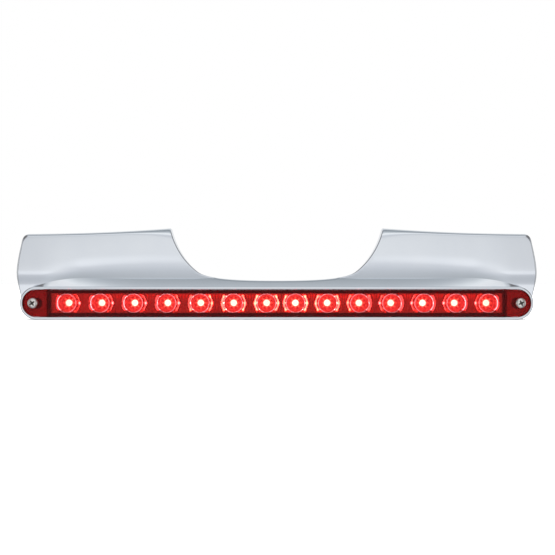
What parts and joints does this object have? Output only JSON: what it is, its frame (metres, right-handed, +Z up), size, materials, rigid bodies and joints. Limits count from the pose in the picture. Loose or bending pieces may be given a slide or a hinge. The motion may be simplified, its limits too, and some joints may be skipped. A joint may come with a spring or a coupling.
{
  "type": "third brake light",
  "caption": "Chrome cast housing with two wings around a tail lamp cut-out and a long red LED light strip set in its lower rail.",
  "frame": {"origin": "centre of the flat pad on the back of the rail, level with the light strip's centre line", "axes": "+X along the light strip, +Y back into the vehicle, +Z up; the light shines towards -Y"},
  "size_m": [0.3144, 0.0211, 0.055],
  "materials": {
    "chrome": "polished",
    "screw_steel": "satin",
    "brass": "satin",
    "red_lens": "clear red, glossy",
    "black_plastic": "moulded",
    "rubber": "matte",
    "foam": "closed-cell foam, matte",
    "circuit_board": "solder mask",
    "bright_plastic": "metallised",
    "led_resin": "lit",
    "resistor_ceramic": "plain",
    "diode_epoxy": "plain"
  },
  "bodies": {
    "root": {"chrome_housing": "chrome", "threaded_insert_left": "brass", "threaded_insert_right": "brass", "mounting_gasket": "foam", "light_base": "black_plastic", "wire_grommet": "rubber", "circuit_board_left": "circuit_board", "circuit_board_right": "circuit_board", "reflector_left": "bright_plastic", "reflector_right": "bright_plastic", "led_01": "led_resin", "led_02": "led_resin", "led_03": "led_resin", "led_04": "led_resin", "led_05": "led_resin", "led_06": "led_resin", "led_07": "led_resin", "led_08": "led_resin", "led_09": "led_resin", "led_10": "led_resin", "led_11": "led_resin", "led_12": "led_resin", "led_13": "led_resin", "led_14": "led_resin", "resistor_1": "resistor_ceramic", "resistor_2": "resistor_ceramic", "resistor_3": "resistor_ceramic", "resistor_4": "resistor_ceramic", "diode_1": "diode_epoxy", "diode_2": "diode_epoxy", "lens_seal": "rubber", "lens": "red_lens", "lens_screw_left": "screw_steel", "lens_screw_right": "screw_steel"}
  },
  "joints": []
}
